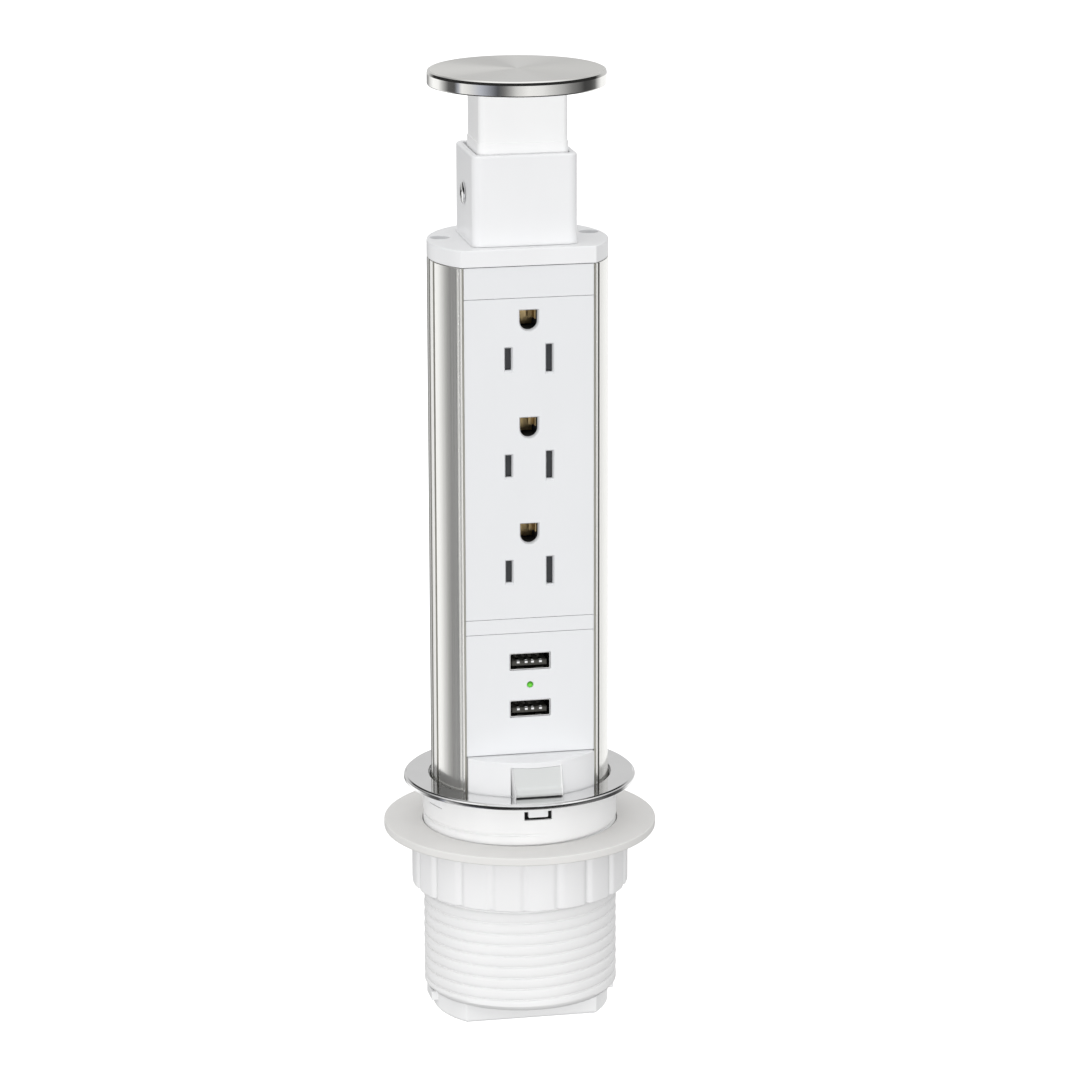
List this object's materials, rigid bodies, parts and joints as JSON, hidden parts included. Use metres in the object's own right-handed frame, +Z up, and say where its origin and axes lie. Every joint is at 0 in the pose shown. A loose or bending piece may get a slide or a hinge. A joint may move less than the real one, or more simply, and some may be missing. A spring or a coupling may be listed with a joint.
{
  "type": "pop-up desk power tower",
  "caption": "Pop-up desk power tower: a round-backed socket column with charging ports slides up through a threaded desk grommet, under a spring-up disc cap.",
  "frame": {"origin": "on the column's axis, level with the underside of the bottom cap at rest (column raised)", "axes": "+Z up along the column, -Y towards the sockets, +X to the right of someone facing the sockets"},
  "size_m": [0.0854, 0.0854, 0.2982],
  "materials": {
    "white_gloss": "smooth satin-gloss white moulding",
    "sleeve_white": "smooth semi-matt white nylon",
    "panel_white": "flat cool white, fine-textured moulding",
    "nut_white": "semi-matt bright white nylon",
    "washer_white": "semi-matt warm white",
    "satin_aluminium": "satin anodised, drawn lengthwise",
    "brushed_steel": "spun-brushed face, polished edge",
    "polished_steel": "polished",
    "spring_steel": "drawn wire",
    "contact_brass": "stamped strip",
    "charcoal": "charcoal moulding",
    "black_plastic": "black moulding",
    "board_green": "solder mask green",
    "lamp_green": "translucent green lens",
    "copper_enamel": "enamelled copper winding",
    "cord_white": "soft white PVC"
  },
  "bodies": {
    "sleeve": {"threaded_sleeve": "sleeve_white", "trim_ring": "polished_steel", "ring_carrier": "white_gloss"},
    "washer": {"clamp_washer": "washer_white"},
    "nut": {"lock_nut": "nut_white"},
    "neck": {"cap_disc": "brushed_steel", "cap_liner": "white_gloss", "neck_post": "white_gloss", "push_striker": "charcoal"},
    "latch": {"latch_button": "white_gloss"},
    "shutter_upper": {"shutter_upper": "charcoal"},
    "shutter_middle": {"shutter_middle": "charcoal"},
    "shutter_lower": {"shutter_lower": "charcoal"},
    "tower": {"body_extrusion": "satin_aluminium", "top_plate": "white_gloss", "top_plate_screw_left": "polished_steel", "top_plate_screw_right": "polished_steel", "bottom_cap": "white_gloss", "bottom_cap_screw_left": "polished_steel", "bottom_cap_screw_right": "polished_steel", "filler_panel": "panel_white", "outlet_panel": "panel_white", "spacer_panel": "panel_white", "usb_panel": "panel_white", "lower_panel": "panel_white", "base_block": "white_gloss", "latch_spring": "spring_steel", "neck_collar": "white_gloss", "collar_screw_left": "polished_steel", "collar_screw_right": "polished_steel", "neck_spring": "spring_steel", "push_latch": "charcoal", "socket_carrier": "charcoal", "hot_bus": "contact_brass", "neutral_bus": "contact_brass", "ground_bus": "contact_brass", "usb_shell_upper": "polished_steel", "usb_shell_lower": "polished_steel", "usb_tongue_upper": "black_plastic", "usb_tongue_lower": "black_plastic", "usb_board": "board_green", "status_lamp": "lamp_green", "usb_coil": "copper_enamel", "usb_capacitor": "black_plastic", "cord_bushing": "black_plastic", "cord_stub": "cord_white", "hot_wire": "black_plastic", "ground_wire": "board_green", "neutral_wire": "cord_white"}
  },
  "joints": [
    {"name": "tower_slide", "type": "slide", "parent": "sleeve", "child": "tower", "axis": [0, 0, 1], "range_m": [-0.2025, 0], "deforming": ["latch_button"]},
    {"name": "neck_pop", "type": "slide", "parent": "tower", "child": "neck", "axis": [0, 0, 1], "range_m": [-0.0194, 0], "stiffness_N_per_m": 90, "springref_m": 0.012, "deforming": ["neck_spring"]},
    {"name": "latch_press", "type": "slide", "parent": "tower", "child": "latch", "axis": [0, -1, 0], "range_m": [-0.0035, 0], "stiffness_N_per_m": 300, "springref_m": 0.002, "deforming": ["latch_spring"]},
    {"name": "washer_slide", "type": "slide", "parent": "sleeve", "child": "washer", "axis": [0, 0, 1], "range_m": [-0.0334, 0.0054]},
    {"name": "nut_spin", "type": "hinge", "parent": "washer", "child": "nut", "pos_m": [0, 0, 0.05], "axis": [0, 0, 1], "range_deg": [-3341, 541]},
    {"name": "shutter_upper_slide", "type": "slide", "parent": "tower", "child": "shutter_upper", "axis": [1, 0, 0], "range_m": [0, 0.0032], "stiffness_N_per_m": 80, "springref_m": -0.001},
    {"name": "shutter_middle_slide", "type": "slide", "parent": "tower", "child": "shutter_middle", "axis": [1, 0, 0], "range_m": [0, 0.0032], "stiffness_N_per_m": 80, "springref_m": -0.001},
    {"name": "shutter_lower_slide", "type": "slide", "parent": "tower", "child": "shutter_lower", "axis": [1, 0, 0], "range_m": [0, 0.0032], "stiffness_N_per_m": 80, "springref_m": -0.001}
  ],
  "couplings": [
    {"joint": "nut_spin", "follows": "washer_slide", "rad_per_m": 1745.3}
  ]
}
